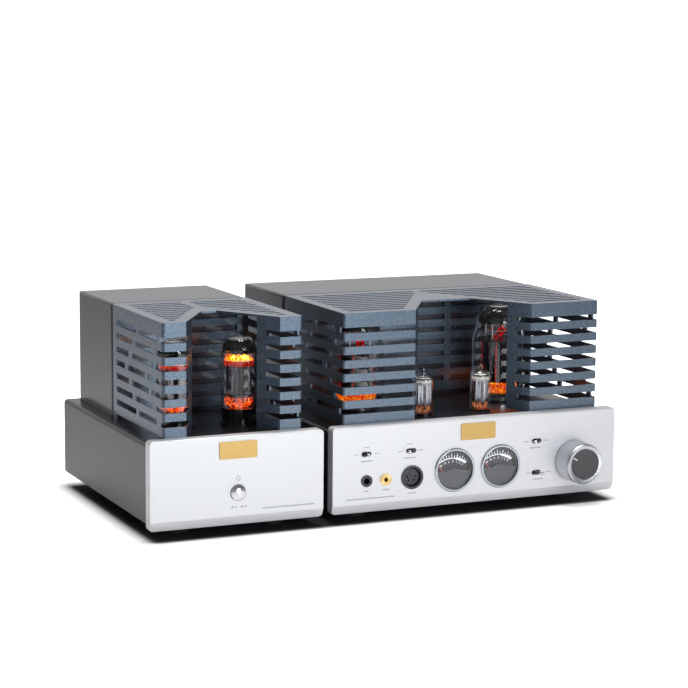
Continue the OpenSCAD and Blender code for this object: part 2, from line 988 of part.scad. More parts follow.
// Lower mask in front of the needle: a flat edge with a low hump over the pivot
module dial_mask() {
    r = meter_body_d / 2 - 1.6;
    intersection() {
        circle(r);
        union() {
            translate([-r, -r]) square([2 * r, r - 1.5]);
            translate([0, -9]) circle(10.5);
        }
    }
}

// Dial plate with the pivot's bearing behind it, and the mask in front of it
module meter_dials() {
    pivot_z = meter_z - needle_pivot_drop;
    color("#2c2e33") in_amp() pair(amp_mid, meter_dx) {
        difference() {
            union() {
                back_rod([0, dial_y, meter_z], meter_body_d - 3.2, dial_t);
                back_rod([0, dial_y + dial_t, pivot_z], 6, 8);
            }
            back_rod([0, dial_y - over, pivot_z], arbor_d + 0.2, over + 7);
        }
        translate([0, 0, meter_z]) along_y(mask_y, mask_y + mask_t) dial_mask();
    }
}

module meter_lenses() {
    color("#c8dce8", 0.3) in_amp() pair(amp_mid, meter_dx)
        back_rod([0, -0.6, meter_z], bezel_d - 2 * bezel_lip - 0.2, lens_t);
}

// Hub and arbor of a needle; the arbor runs back into the dial's bearing
module needle_hub() {
    back_rod([0, 0, 0], 4, 1.4);
    back_rod([0, 0, 0], arbor_d, 7.5);
}

// A needle that points up and to the left at rest, turning about a Y axis
module needle(side) {
    color("#d8412e") in_amp()
        translate([amp_mid + side * meter_dx, needle_y, meter_z - needle_pivot_drop]) {
            rotate([0, -needle_tilt, 0])
                box([-0.3, 0.4, 0], [0.3, 0.9, needle_len]);
            needle_hub();
        }
}

module left_needle() {
    needle(-1);
}

module right_needle() {
    needle(1);
}

// ------------------------------------------------------------------ volume control

module volume_pot() {
    color("#4a4d52") in_amp() difference() {
        union() {
            back_rod([knob_x, 0.6, knob_z], 9.2, panel_t + 2);
            back_rod([knob_x, panel_t, knob_z], 26, 16);
        }
        back_rod([knob_x, -over, knob_z], shaft_d + 0.1, 30);
    }
}

module volume_shaft() {
    color("#c9a44a") in_amp() back_rod([knob_x, -15, knob_z], shaft_d, 38);
}

cap_d = 32;
cap_t = 1.2;
knob_rim = 2.2;

// Turned knob: a waisted body, a bright bevelled rim and a dished front for the dark cap
module volume_knob() {
    r = knob_d / 2;
    len = knob_reach - knob_gap;
    color("#c5c7cb") in_amp() translate([knob_x, -knob_gap, knob_z]) rotate([90, 0, 0])
        difference() {
            rotate_extrude() polygon([
                [0, 0], [r - 0.6, 0], [r, 0.6], [r - 0.6, len - knob_rim],
                [r - knob_rim, len], [cap_d / 2 + 0.3, len - 0.6],
                [cap_d / 2 + 0.3, len - 0.6 - cap_t], [0, len - 0.6 - cap_t]
            ]);
            translate([0, 0, -over]) cylinder(d = shaft_d, h = 15 - knob_gap + over);
        }
}

// Dark glossy disc let into the knob's front, with a raised white pointer line
module volume_knob_cap() {
    pointer_angle = 62;
    y = -knob_reach + 0.6 + cap_t;
    color("#3a3940") in_amp() {
        rod([knob_x, y, knob_z], cap_d, cap_t);
        translate([knob_x, y - cap_t, knob_z]) rotate([0, -pointer_angle, 0])
            box([-0.5, -0.2, cap_d / 2 - 5.5], [0.5, 0, cap_d / 2 - 0.2]);
    }
}

// ------------------------------------------------------------------ toggles

lever_d = 2.6;
lever_tip_d = 3.6;
lever_out = 8;
lever_tail = 5;
lever_pin_d = 2;
lever_pivot_y = panel_t + 2;

// Switch bodies behind the panel, each with a slot for its lever and a hole for its pin
module toggle_bodies() {
    color("#1d1e21") in_amp() for (t = toggles) difference() {
        box([t[0] - 7, panel_t, t[1] - 5], [t[0] + 7, panel_t + 14, t[1] + 5]);
        box([t[0] - 5, panel_t - over, t[1] - 2.2], [t[0] + 5, panel_t + 10, t[1] + 2.2]);
        translate([t[0], lever_pivot_y, t[1] - 5 - over])
            cylinder(d = lever_pin_d + 0.1, h = 10 + 2 * over);
    }
}

// A bat lever on an upright pin behind the panel, tilted by the toggle's third value
module lever(t) {
    neck = lever_pivot_y + lever_out - lever_tip_d / 2;
    color("#c4c6ca") in_amp() translate([t[0], lever_pivot_y, t[1]]) rotate([0, 0, t[2]]) {
        rotate([90, 0, 0]) rotate_extrude() {
            polygon([
                [0, -lever_tail], [lever_d / 2, -lever_tail], [lever_d / 2, lever_pivot_y],
                [lever_tip_d / 2, neck], [0, neck]
            ]);
            intersection() {
                translate([0, neck]) circle(lever_tip_d / 2);
                translate([0, neck]) square(lever_tip_d);
            }
        }
        translate([0, 0, -4.6]) cylinder(d = lever_pin_d, h = 9.2);
    }
}

module phones_lever() {
    lever(toggles[0]);
}

module impedance_lever() {
    lever(toggles[1]);
}

module source_lever() {
    lever(toggles[2]);
}

module meter_lever() {
    lever(toggles[3]);
}

// ------------------------------------------------------------------ jacks and sockets

stereo_bore = 6.5;
balanced_bore = 4.5;
jack_flange = 12;
jack_depth = 18;

// A panel jack: a flange on the panel and a barrel through it, bored for its plug
module jack(x, bore) {
    difference() {
        union() {
            rod([x, 0, jack_z], jack_flange, 1.2);
            back_rod([x, -over / 2, jack_z], jack_hole - 0.2, jack_depth + over / 2);
        }
        back_rod([x, -1.2 - over, jack_z], bore, jack_depth + 1.2 - 1.5 + over);
    }
}

module stereo_jack() {
    color("#2b2c30") in_amp() jack(stereo_x, stereo_bore);
}

module balanced_jack() {
    color("#d8b04c") in_amp() jack(balanced_x, balanced_bore);
}

// Where the contact holes lie, in degrees from straight up
four_pin_turns = [-138, -85, 85, 138];

// Four-way round headphone socket: a ring on the panel, an open annular groove and an
// insert with four contact holes
module four_pin_socket() {
    color("#232429") in_amp() {
        difference() {
            union() {
                rod([four_pin_x, 0, jack_z], 24, 1.5);
                back_rod([four_pin_x, -over / 2, jack_z], four_pin_hole - 0.3, 20);
            }
            back_rod([four_pin_x, -1.5 - over, jack_z], 19, 14 + 1.5 + over);
        }
        difference() {
            back_rod([four_pin_x, 1.5, jack_z], 16.4, 12.45);
            for (turn = four_pin_turns)
                translate([four_pin_x, 0, jack_z]) rotate([0, turn, 0])
                    back_rod([0, 1.5 - over, 4.6], 2, 10 + over);
        }
    }
}

// Phono sockets: a gold shell and a centre contact standing out of the rear panel
module input_sockets() {
    color("#d8b04c") in_amp() for (x = input_xs) {
        difference() {
            union() {
                back_rod([x, case_depth - 6, input_z], input_hole - 0.3, 7);
                back_rod([x, case_depth, input_z], 12, 2);
                back_rod([x, case_depth, input_z], 8.3, 10);
            }
            back_rod([x, case_depth - 2, input_z], 3.4, 14);
        }
    }
}

module amp_link_socket() {
    color("#8f9399") in_amp() link_socket(amp_link_x);
}

module amp_cage() {
    half_w = amp_w / 2 - amp_cage_in;
    post = 7.8;
    group = 85.5;
    middle = half_w - group / 2;
    color("#77869c") in_amp()
        cage(amp_w, amp_cage_in, amp_window, amp_window_depth,
            [[10, middle - post], [middle, half_w + over]]);
}

// ------------------------------------------------------------------ the assembly

psu_chassis();
psu_bottom_plate();
psu_rear_panel();
psu_front_panel();
psu_badge();
psu_transformer_cover();
psu_mains_transformer();
psu_choke();
psu_board();
psu_capacitors();
psu_switch();
psu_button();
psu_inlet();
psu_link_socket();
psu_feet();
psu_screws();
psu_valve_sockets();
psu_valve_bases();
psu_valve_anodes();
psu_valve_glass();
psu_cage();
amp_chassis();
amp_bottom_plate();
amp_rear_panel();
amp_front_panel();
amp_badge();
amp_transformer_cover();
output_transformers();
amp_board();
amp_capacitors();
amp_feet();
amp_screws();
output_valve_sockets();
output_valve_bases();
output_valve_anodes();
output_valve_glass();
signal_valve_sockets();
signal_valve_anodes();
signal_valve_glass();
meter_cases();
meter_bezels();
meter_dials();
meter_lenses();
left_needle();
right_needle();
volume_pot();
volume_shaft();
volume_knob();
volume_knob_cap();
toggle_bodies();
phones_lever();
impedance_lever();
source_lever();
meter_lever();
balanced_jack();
stereo_jack();
four_pin_socket();
input_sockets();
amp_link_socket();
amp_cage();
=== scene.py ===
import math
import random

import bmesh
import bpy
from mathutils import Matrix, Vector


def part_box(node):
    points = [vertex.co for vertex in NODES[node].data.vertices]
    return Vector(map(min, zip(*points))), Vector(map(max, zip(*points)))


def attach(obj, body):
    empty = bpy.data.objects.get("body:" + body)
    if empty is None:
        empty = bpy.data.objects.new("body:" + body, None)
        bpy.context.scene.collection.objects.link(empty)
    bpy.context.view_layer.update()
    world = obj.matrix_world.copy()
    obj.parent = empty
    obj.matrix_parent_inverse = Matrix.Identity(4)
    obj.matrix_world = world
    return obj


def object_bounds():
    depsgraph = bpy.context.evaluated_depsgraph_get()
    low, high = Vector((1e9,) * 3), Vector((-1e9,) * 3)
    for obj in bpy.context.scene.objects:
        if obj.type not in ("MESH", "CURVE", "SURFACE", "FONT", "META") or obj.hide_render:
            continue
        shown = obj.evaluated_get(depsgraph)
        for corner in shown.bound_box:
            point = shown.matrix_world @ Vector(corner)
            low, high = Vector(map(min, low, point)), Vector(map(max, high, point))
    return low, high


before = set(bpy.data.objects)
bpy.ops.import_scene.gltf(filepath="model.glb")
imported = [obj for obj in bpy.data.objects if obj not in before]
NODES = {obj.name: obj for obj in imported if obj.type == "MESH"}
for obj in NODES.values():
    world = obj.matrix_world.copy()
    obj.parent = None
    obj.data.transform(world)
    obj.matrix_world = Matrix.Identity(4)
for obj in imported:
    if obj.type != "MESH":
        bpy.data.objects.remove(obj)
cad_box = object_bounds()
MM = 0.001
ROOT = "cabinets"
TAU = 2 * math.pi


# ---------------------------------------------------------------- camera, lights, floor

VIEW_TURN = math.radians(24.275)


def add_camera():
    """The camera stands to the left of the set, a little above it, with a long lens."""
    dip, tilt = math.radians(8.527), math.radians(0.473)
    data = bpy.data.cameras.new("camera")
    data.lens, data.sensor_width = 111.77, 36.0
    data.clip_end = 100
    camera = bpy.data.objects.new("camera", data)
    rotation = (Matrix.Rotation(-VIEW_TURN, 4, "Z") @ Matrix.Rotation(math.pi / 2 - dip, 4, "X")
                @ Matrix.Rotation(tilt, 4, "Z"))
    camera.matrix_world = Matrix.Translation((-0.9054, -2.0215, 0.4916)) @ rotation
    bpy.context.scene.collection.objects.link(camera)
    bpy.context.scene.camera = camera


def add_softbox(name, place, target, size, power, colour=(1, 1, 1)):
    data = bpy.data.lights.new(name, "AREA")
    data.shape, data.size, data.size_y = "RECTANGLE", size[0], size[1]
    data.energy, data.color = power, colour
    lamp = bpy.data.objects.new(name, data)
    lamp.location = place
    lamp.rotation_euler = (Vector(target) - Vector(place)).to_track_quat("-Z", "Y").to_euler()
    bpy.context.scene.collection.objects.link(lamp)


def add_studio():
    """A big box overhead, one to the right front that the cage fronts mirror, and a dim world."""
    world = bpy.data.worlds.new("studio")
    bpy.context.scene.world = world
    world.use_nodes = True
    world.node_tree.nodes["Background"].inputs["Color"].default_value = (1.0, 0.95, 0.98, 1)
    world.node_tree.nodes["Background"].inputs["Strength"].default_value = 0.2
    add_softbox("top_box", (0.0, 0.0, 1.6), (0, 0, 0.1), (0.6, 0.5), 24)
    add_softbox("front_box", (0.25, -1.9, 0.45), (-0.15, 0, 0.1), (0.6, 0.8), 12, (0.86, 0.94, 1.0))
    bpy.context.scene.view_settings.view_transform = "Standard"
    bpy.context.scene.view_settings.look = "None"


def add_floor():
    """A pale floor that curves up into a backdrop far behind the set."""
    bm = bmesh.new()
    near, bend, radius, high, half = -4.0, 9.0, 3.0, 8.0, 14.0
    profile = [(near, 0.0), (bend, 0.0)]
    for i in range(1, 13):
        a = math.radians(90 * i / 12)
        profile.append((bend + radius * math.sin(a), radius * (1 - math.cos(a))))
    profile.append((bend + radius, high))
    rows = [[bm.verts.new((x, y, z)) for x in (-half, half)] for y, z in profile]
    for a, b in zip(rows, rows[1:]):
        bm.faces.new((a[0], a[1], b[1], b[0]))
    mesh = bpy.data.meshes.new("floor")
    bm.to_mesh(mesh)
    floor = bpy.data.objects.new("floor", mesh)
    for p in mesh.polygons:
        p.use_smooth = True
    floor.rotation_euler = (0, 0, -VIEW_TURN)
    bpy.context.scene.collection.objects.link(floor)
    mesh.materials.append(floor_paper(cad_box).material)


def floor_paper(footprint):
    """White paper with a painted shadow, dark under the set, and its own emission: white to camera rays
    away from the set, and a painted pool of light that its front mirrors.
    """
    paper = Look("floor_paper", (0.9, 0.9, 0.9), 0.9)
    place = paper.node("NewGeometry").outputs["Position"]
    centre = paper.node("VectorMath", operation="SUBTRACT")
    reach = paper.node("VectorMath", operation="ABSOLUTE")
    low, high = footprint
    centre.inputs[1].default_value = [(a + b) / 2 for a, b in zip(low[:2], high[:2])] + [0]
    paper.link(place, centre.inputs[0])
    paper.link(centre.outputs["Vector"], reach.inputs[0])
    past = paper.node("VectorMath", operation="SUBTRACT")
    inset = (12 * MM, 31 * MM)
    past.inputs[1].default_value = [(b - a) / 2 - i for a, b, i in zip(low[:2], high[:2], inset)] + [10]
    paper.link(reach.outputs["Vector"], past.inputs[0])
    outside = paper.node("VectorMath", operation="MAXIMUM")
    away = paper.node("VectorMath", operation="LENGTH")
    paper.link(past.outputs["Vector"], outside.inputs[0])
    paper.link(outside.outputs["Vector"], away.inputs[0])
    distance = away.outputs["Value"]
    # Painted shadow: the base colour goes near-black over the set's inset footprint and fades to white 14
    # mm out.
    paper.tint(paper.spread(distance, (0, 14 * MM), (0, 1)),
               (0.0, (0.012, 0.012, 0.015)), (0.45, (0.1, 0.1, 0.11)), (1.0, (0.9, 0.9, 0.9)))
    # Emission that whitens the paper for camera rays only, from 6 mm past the painted shadow, and rises
    # towards the backdrop.
    near, lift = paper.node("Math", operation="MULTIPLY"), paper.node("Math", operation="MAXIMUM")
    paper.link(paper.spread(distance, (6 * MM, 40 * MM), (0.0, 1.0)), near.inputs[0])
    paper.link(paper.node("LightPath").outputs["Is Camera Ray"], near.inputs[1])
    paper.link(near.outputs["Value"], lift.inputs[0])
    paper.link(paper.spread(paper.axis("Y"), (0.8, 4.0), (0.0, 0.4)), lift.inputs[1])
    # Painted pool of light: emission round a spot to the front right, for the panel fronts to mirror.
    pool, from_pool = paper.node("VectorMath", operation="DISTANCE"), paper.node("Math", operation="ADD")
    pool.inputs[1].default_value = (0.22, -0.85, 0)
    paper.link(place, pool.inputs[0])
    paper.link(paper.spread(pool.outputs["Value"], (0.1, 0.55), (1.3, 0.0)), from_pool.inputs[0])
    paper.link(lift.outputs["Value"], from_pool.inputs[1])
    paper.link(from_pool.outputs["Value"], paper.shader.inputs["Emission Strength"])
    paper.shader.inputs["Emission Color"].default_value = (1, 1, 1, 1)
    return paper


# ---------------------------------------------------------------- materials

class Look:
    """A procedural material: one Principled shader and the nodes that feed it."""

    def __init__(self, name, colour, roughness=0.5, metallic=0.0, **sockets):
        self.material = bpy.data.materials.new(name)
        self.material.use_nodes = True
        self.tree = self.material.node_tree
        self.shader = self.tree.nodes["Principled BSDF"]
        sockets.update(Base_Color=(*colour, 1), Roughness=roughness, Metallic=metallic)
        for key, value in sockets.items():
            self.shader.inputs[key.replace("_", " ")].default_value = value

    def node(self, kind, **settings):
        node = self.tree.nodes.new("ShaderNode" + kind)
        for key, value in settings.items():
            setattr(node, key, value)
        return node

    def link(self, source, socket):
        self.tree.links.new(source, socket)

    def coords(self, stretch=(1, 1, 1)):
        """Object coordinates in metres, stretched along each axis."""
        place = self.node("TexCoord").outputs["Object"]
        if tuple(stretch) == (1, 1, 1):
            return place
        mapping = self.node("Mapping")
        mapping.inputs["Scale"].default_value = stretch
        self.link(place, mapping.inputs["Vector"])
        return mapping.outputs["Vector"]

    def noise(self, scale, stretch=(1, 1, 1), detail=2.0, warp=0.0):
        node = self.node("TexNoise")
        node.inputs["Scale"].default_value = scale
        node.inputs["Detail"].default_value = detail
        node.inputs["Distortion"].default_value = warp
        self.link(self.coords(stretch), node.inputs["Vector"])
        return node.outputs["Fac"]

    def axis(self, letter):
        """How far along X, Y or Z, in metres."""
        parts = self.node("SeparateXYZ")
        self.link(self.coords(), parts.inputs[0])
        return parts.outputs[letter]

    def off_axis(self):
        """Distance from the object's own upright axis, in metres."""
        node = self.node("VectorMath", operation="LENGTH")
        self.link(self.coords((1, 1, 0)), node.inputs[0])
        return node.outputs["Value"]

    def spread(self, source, given, wanted):
        """Maps a range of values to another, clamped."""
        node = self.node("MapRange")
        for key, value in zip(("From Min", "From Max", "To Min", "To Max"), (*given, *wanted)):
            node.inputs[key].default_value = value
        self.link(source, node.inputs["Value"])
        return node.outputs["Result"]

    def ramp(self, source, *stops):
        """Colours along a value: stops are (position, colour)."""
        node = self.node("ValToRGB")
        marks = node.color_ramp.elements
        while len(marks) < len(stops):
            marks.new(0.5)
        for mark, (position, colour) in zip(marks, stops):
            mark.position, mark.color = position, (*colour, 1)
        self.link(source, node.inputs["Fac"])
        return node.outputs["Color"]

    def tint(self, source, *stops):
        self.link(self.ramp(source, *stops), self.shader.inputs["Base Color"])
        return self

    def rough(self, source, low, high, given=(0.3, 0.7)):
        self.link(self.spread(source, given, (low, high)), self.shader.inputs["Roughness"])
        return self

    def bump(self, source, strength, depth_mm=0.1):
        node = self.node("Bump")
        node.inputs["Strength"].default_value = strength
        node.inputs["Distance"].default_value = depth_mm * MM
        self.link(source, node.inputs["Height"])
        self.link(node.outputs["Normal"], self.shader.inputs["Normal"])
        return self

    def glow(self, source, strength, *stops):
        self.link(self.ramp(source, *stops), self.shader.inputs["Emission Color"])
        self.shader.inputs["Emission Strength"].default_value = strength
        return self

    def round_brushed(self, axis):
        """Turned metal: its gloss stretches round the given axis."""
        tangent = self.node("Tangent", direction_type="RADIAL", axis=axis)
        self.link(tangent.outputs["Tangent"], self.shader.inputs["Tangent"])
        self.shader.inputs["Anisotropic"].default_value = 0.8
        return self


def metal_flake_paint(name, dark, light, roughness=0.36, coat=0.5, metallic=0.75):
    """Metallic paint with coarse flake under a clear coat."""
    look = Look(name, light, roughness, metallic, Coat_Weight=coat, Coat_Roughness=0.03)
    flake = look.noise(1100, detail=3.0)
    look.tint(flake, (0.35, dark), (0.65, light))
    return look.rough(look.noise(2300), roughness - 0.08, roughness + 0.1).bump(flake, 0.25, 0.05)


def brushed_metal(name, colour, roughness, stretch, strength=0.12, metallic=1.0):
    """Metal with a straight grain: long along the axes whose stretch is small."""
    look = Look(name, colour, roughness, metallic)
    grain = look.noise(1, stretch, detail=3.0)
    dark = tuple(c * 0.94 for c in colour)
    look.tint(grain, (0.3, dark), (0.7, colour))
    return look.rough(grain, roughness - 0.05, roughness + 0.08).bump(grain, strength, 0.03)


def turned_metal(name, colour, roughness, axis="Y", **sockets):
    """Lathe-turned metal with fine tool marks round its axis."""
    look = Look(name, colour, roughness, 1.0, **sockets).round_brushed(axis)
    look.tint(look.noise(900, detail=1.0), (0.3, tuple(c * 0.88 for c in colour)), (0.7, colour))
    return look


def plastic(name, colour, roughness=0.4, grain=800, strength=0.1, **sockets):
    look = Look(name, colour, roughness, **sockets)
    pits = look.noise(grain)
    look.tint(pits, (0.3, tuple(c * 0.8 for c in colour)), (0.7, colour))
    return look.bump(pits, strength, 0.05)


def glass(name, tint=(1, 1, 1), roughness=0.0):
    """Clear glass that lets lamps through to what stands behind it."""
    look = Look(name, tint, roughness, Transmission_Weight=1.0, IOR=1.45)
    path, clear, mix = look.node("LightPath"), look.node("BsdfTransparent"), look.node("MixShader")
    clear.inputs["Color"].default_value = (*tint, 1)
    look.link(path.outputs["Is Shadow Ray"], mix.inputs["Fac"])
    look.link(look.shader.outputs["BSDF"], mix.inputs[1])
    look.link(clear.outputs["BSDF"], mix.inputs[2])
    look.link(mix.outputs["Shader"], look.tree.nodes["Material Output"].inputs["Surface"])
    return look


def laminations(name):
    look = Look(name, (0.09, 0.09, 0.1), 0.5, 0.6)
    layers = look.noise(1, (20, 1500, 20))
    look.tint(layers, (0.4, (0.05, 0.05, 0.055)), (0.6, (0.14, 0.14, 0.15)))
    return look.bump(layers, 0.4, 0.1)


def circuit_board(name):
    look = Look(name, (0.02, 0.09, 0.05), 0.35, Coat_Weight=0.3)
    tracks = look.node("TexVoronoi", distance="CHEBYCHEV")
    tracks.inputs["Scale"].default_value = 160
    look.link(look.coords(), tracks.inputs["Vector"])
    return look.tint(tracks.outputs["Distance"], (0.3, (0.015, 0.07, 0.04)), (0.34, (0.04, 0.16, 0.09)))


def anode_metal(name, dark, light, roughness):
    """Pressed sheet with a faint upright grain and blotches from its heat treatment."""
    look = Look(name, light, roughness, 0.85)
    look.tint(look.noise(1, (350, 350, 45), detail=3.0), (0.35, dark), (0.65, light))
    return look.bump(look.noise(1, (900, 900, 60)), 0.15, 0.05)


def getter(name, first, last, rings, edge, glint_glow):
    """Mirror film inside a valve's dome: bright ripples round the axis, painted in its colour as
    reflections and in its glow as highlights, over ripple bumps; dark towards its edge.
    """
    look = Look(name, (0.8, 0.8, 0.8), 0.16, 0.6)
    wave = look.node("TexWave", wave_type="RINGS", rings_direction="Z", wave_profile="SIN")
    wave.inputs["Scale"].default_value = rings
    wave.inputs["Distortion"].default_value = 1.6
    wave.inputs["Detail Scale"].default_value = 60
    look.link(look.coords(), wave.inputs["Vector"])
    # Painted reflection: bright rings in the base colour stand for the stripes the dome mirrors.
    ripples = look.ramp(wave.outputs["Fac"], (0.3, last), (0.55, first))
    mix = look.node("MixRGB")
    mix.inputs["Color2"].default_value = (*edge, 1)
    look.link(look.spread(look.off_axis(), (0.0055, 0.0125), (0, 1)), mix.inputs["Fac"])
    look.link(ripples, mix.inputs["Color1"])
    look.link(mix.outputs["Color"], look.shader.inputs["Base Color"])
    # Painted highlight: ripple crests near the axis glow.
    crest = look.node("Math", operation="MULTIPLY")
    look.link(wave.outputs["Fac"], crest.inputs[0])
    look.link(look.spread(look.off_axis(), (0.009, 0.0155), (1, 0)), crest.inputs[1])
    look.glow(crest.outputs["Value"], glint_glow, (0.62, (0, 0, 0)), (0.9, first))
    return look.bump(wave.outputs["Fac"], 0.8, 1.0)


RED, ORANGE, YELLOW = (0.8, 0.012, 0.0), (1.0, 0.16, 0.0), (1.0, 0.55, 0.03)


def patchy_glow(name, strength, scale, stops, stretch=(1, 1, 1)):
    """Metal whose glow varies in patches: real glow on hot heater ends, painted glow where it stands for
    light from the cathodes on tabs, supports, rods, rings and wires.
    """
    look = Look(name, (0.02, 0.008, 0.004), 0.6, Specular_IOR_Level=0.1)
    return look.glow(look.noise(scale, stretch, detail=3.0, warp=1.5), strength, *stops)


def painted_glow_fade(name, strength, heights):
    """Clear below, red then orange towards the top: a painted glow for metal lit by the cathode ends over
    it.
    """
    look = Look(name, (0.01, 0.004, 0.004), 0.6, Specular_IOR_Level=0.1)
    mix = look.node("Math", operation="MULTIPLY")
    look.link(look.spread(look.axis("Z"), heights, (0, 1)), mix.inputs[0])
    look.link(look.spread(look.noise(480, detail=3.0), (0.36, 0.6), (0.12, 1)), mix.inputs[1])
    look.glow(mix.outputs["Value"], strength,
              (0.1, (0.02, 0, 0)), (0.4, (0.4, 0.005, 0)), (0.75, RED), (1.0, ORANGE))
    clear, shade = look.node("BsdfTransparent"), look.node("MixShader")
    look.link(look.spread(mix.outputs["Value"], (0.12, 0.35), (0, 1)), shade.inputs["Fac"])
    look.link(clear.outputs["BSDF"], shade.inputs[1])
    look.link(look.shader.outputs["BSDF"], shade.inputs[2])
    look.link(shade.outputs["Shader"], look.tree.nodes["Material Output"].inputs["Surface"])
    return look


def lit_mica(name, heat, rim):
    """A mica plate with a painted glow, orange where the cathodes' light comes through, and pale grey at
    its rim.
    """
    look = Look(name, (0.5, 0.47, 0.42), 0.25, Coat_Weight=0.6)
    # heat sets the strength of the painted glow, rim its reach.
    return look.glow(look.off_axis(), heat, (0.0, YELLOW), (rim * 0.6, ORANGE), (rim, (0.25, 0.01, 0.0)))


def meter_face(name):
    """Near-black dial plate at the back, a lighter mask in front of it."""
    look = Look(name, (0.03, 0.03, 0.035), 0.55)
    depth = look.axis("Y")
    dial, mask = (0.012, 0.012, 0.015), (0.055, 0.053, 0.06)
    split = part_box("meter_dials")[0][1]
    step = look.spread(depth, (split + 1.5 * MM, split + 2.5 * MM), (0, 1))
    look.tint(step, (0.4, mask), (0.6, dial))
    return look.bump(look.noise(1800), 0.15, 0.03)


CASE_DARK, CASE_LIGHT = (0.03, 0.031, 0.042), (0.085, 0.085, 0.105)
CAGE_DARK, CAGE_LIGHT = (0.045, 0.065, 0.09), (0.16, 0.215, 0.28)


def cad_looks():
    """Which material each CAD node wears."""
    case = metal_flake_paint("case_paint", CASE_DARK, CASE_LIGHT)
    deck = metal_flake_paint("deck_paint", (0.005, 0.005, 0.006), (0.012, 0.012, 0.015), 0.3, 0.15, 0.0)
    cage = metal_flake_paint("cage_paint", CAGE_DARK, CAGE_LIGHT)
    plate = metal_flake_paint("plate_paint", (0.02, 0.02, 0.025), (0.06, 0.06, 0.07))
    panel = brushed_metal("panel_metal", (0.76, 0.755, 0.765), 0.42, (60, 3200, 3200), 0.06, 0.55)
    badge = brushed_metal("badge_gold", (0.57, 0.37, 0.13), 0.3, (60, 2500, 2500), 0.08, 0.85)
    black = plastic("black_plastic", (0.02, 0.02, 0.022))
    sleeve = plastic("capacitor_sleeve", (0.02, 0.025, 0.06), 0.25)
    ceramic = plastic("socket_ceramic", (0.014, 0.014, 0.017), 0.25, Coat_Weight=0.4)
    base = plastic("valve_base", (0.006, 0.006, 0.007), 0.12, 300, 0.03, Coat_Weight=1.0)
    collar = turned_metal("valve_collar", (0.5, 0.5, 0.52), 0.16, "Z")
    silver = turned_metal("knob_metal", (0.62, 0.63, 0.67), 0.24)
    socket_metal = turned_metal("socket_metal", (0.55, 0.55, 0.57), 0.3)
    gold = turned_metal("jack_gold", (0.85, 0.6, 0.25), 0.25)
    screws = turned_metal("screw_steel", (0.25, 0.25, 0.27), 0.35)
    chrome = Look("lever_chrome", (0.75, 0.76, 0.8), 0.12, 1.0)
    chrome.bump(chrome.noise(500), 0.05, 0.05)
    jack = plastic("jack_black", (0.045, 0.046, 0.052), 0.35)
    core = laminations("core_steel")
    board = circuit_board("board_resin")
    bezel = turned_metal("bezel_metal", (0.5, 0.54, 0.58), 0.14)
    button = turned_metal("button_metal", (0.82, 0.82, 0.85), 0.24)
    cap = plastic("knob_cap", (0.03, 0.027, 0.032), 0.2, 300, 0.0, Coat_Weight=0.6)
    pot = turned_metal("pot_metal", (0.4, 0.4, 0.42), 0.35)
    brass = turned_metal("shaft_brass", (0.6, 0.45, 0.2), 0.3)
    rubber = plastic("foot_rubber", (0.012, 0.012, 0.013), 0.7, 1500, 0.3)
    needle = plastic("needle_metal", (0.85, 0.12, 0.1), 0.4)
    dark_anode = anode_metal("anode_carbon", (0.03, 0.03, 0.033), (0.16, 0.15, 0.16), 0.32)
    black_anode = anode_metal("anode_black", (0.008, 0.008, 0.009), (0.05, 0.05, 0.055), 0.22)
    bright_anode = anode_metal("anode_silver", (0.05, 0.05, 0.06), (0.36, 0.37, 0.41), 0.2)
    clear, pane = glass("valve_glass"), glass("meter_glass")
    looks = {
        case: "psu_transformer_cover amp_transformer_cover psu_rear_panel amp_rear_panel",
        deck: "psu_chassis amp_chassis", cage: "psu_cage amp_cage",
        plate: "psu_bottom_plate amp_bottom_plate", panel: "psu_front_panel amp_front_panel",
        badge: "psu_badge amp_badge", black: "psu_switch psu_inlet meter_cases toggle_bodies",
        sleeve: "psu_capacitors amp_capacitors", base: "psu_valve_bases", collar: "output_valve_bases",
        ceramic: "psu_valve_sockets output_valve_sockets signal_valve_sockets",
        silver: "volume_knob", socket_metal: "psu_link_socket amp_link_socket",
        gold: "balanced_jack input_sockets", screws: "psu_screws amp_screws",
        chrome: "phones_lever impedance_lever source_lever meter_lever",
        jack: "stereo_jack four_pin_socket", board: "psu_board amp_board",
        core: "psu_mains_transformer psu_choke output_transformers",
        bezel: "meter_bezels", button: "psu_button", cap: "volume_knob_cap", pot: "volume_pot",
        brass: "volume_shaft", rubber: "psu_feet amp_feet", needle: "left_needle right_needle",
        dark_anode: "psu_valve_anodes", black_anode: "output_valve_anodes",
        bright_anode: "signal_valve_anodes", pane: "meter_lenses",
        clear: "psu_valve_glass output_valve_glass signal_valve_glass",
        meter_face("dial_face"): "meter_dials",
    }
    return {node: look.material for look, names in looks.items() for node in names.split()}


EDGES = {  # bevelled edge of each CAD node that shows, in mm
    "psu_cage": 0.55, "amp_cage": 0.55, "psu_transformer_cover": 0.35, "amp_transformer_cover": 0.35,
    "psu_front_panel": 0.5, "amp_front_panel": 0.5, "psu_badge": 0.25, "amp_badge": 0.25,
    "psu_chassis": 0.3, "amp_chassis": 0.3, "psu_rear_panel": 0.3, "amp_rear_panel": 0.3,
    "psu_button": 0.2, "volume_knob": 0.2, "volume_knob_cap": 0.1, "meter_bezels": 0.15,
    "stereo_jack": 0.15, "balanced_jack": 0.15, "four_pin_socket": 0.15, "psu_feet": 0.5, "amp_feet": 0.5,
}


